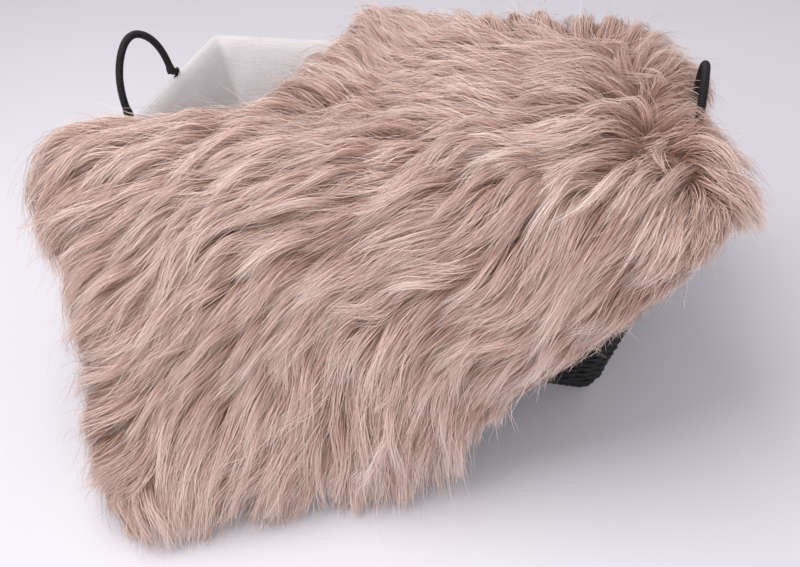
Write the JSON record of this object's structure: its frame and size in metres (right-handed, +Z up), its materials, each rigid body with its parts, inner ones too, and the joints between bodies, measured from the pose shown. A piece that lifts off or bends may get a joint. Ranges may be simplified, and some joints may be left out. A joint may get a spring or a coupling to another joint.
{
  "type": "posing basket with long-pile throw",
  "caption": "Tapered black cord basket with a linen liner, cushion and swinging wire loop handles, covered by a long-pile faux fur throw that hangs down its front.",
  "frame": {"origin": "centre of the flat underside of the base panel, where the basket stands on the floor", "axes": "+Z up, +X along the basket's long side from the left loop handle to the right one, -Y towards the side that the throw hangs down"},
  "size_m": [0.6012, 0.5332, 0.303],
  "materials": {
    "black_cord": "satin",
    "black_wire": "satin",
    "black_base": "matte",
    "cane": "satin",
    "linen": "matte",
    "padding_cotton": "matte",
    "knit_backing": "matte",
    "pile": "satin"
  },
  "bodies": {
    "basket": {"base_panel": "black_base", "foot_border": "black_cord", "corner_posts": "black_cord", "uprights": "cane", "front_weave": "black_cord", "back_weave": "black_cord", "left_weave": "black_cord", "right_weave": "black_cord", "rim_wire": "black_wire", "rim_border": "black_cord", "left_handle_eyes": "black_cord", "right_handle_eyes": "black_cord", "liner_front": "linen", "liner_back": "linen", "liner_left": "linen", "liner_right": "linen", "liner_corners": "linen", "liner_floor": "linen", "liner_cuff": "linen", "liner_hem": "linen", "slit_bindings": "linen", "padding": "padding_cotton"},
    "left_loop": {"left_handle_wire": "black_wire", "left_handle_wrap": "black_cord", "left_handle_bindings": "black_cord"},
    "right_loop": {"right_handle_wire": "black_wire", "right_handle_wrap": "black_cord", "right_handle_bindings": "black_cord"},
    "throw": {"throw_backing": "knit_backing", "throw_pile": "pile"}
  },
  "joints": [
    {"name": "left_loop_swing", "type": "hinge", "parent": "basket", "child": "left_loop", "pos_m": [-0.257, -0.004, 0.2389], "axis": [0, -1, 0], "range_deg": [-10, 88]},
    {"name": "right_loop_swing", "type": "hinge", "parent": "basket", "child": "right_loop", "pos_m": [0.257, -0.004, 0.2389], "axis": [0, 1, 0], "range_deg": [-10, 86]},
    {"name": "throw_lift", "type": "slide", "parent": "basket", "child": "throw", "axis": [0, -0.2588, 0.9659], "range_m": [0, 0.25]}
  ]
}
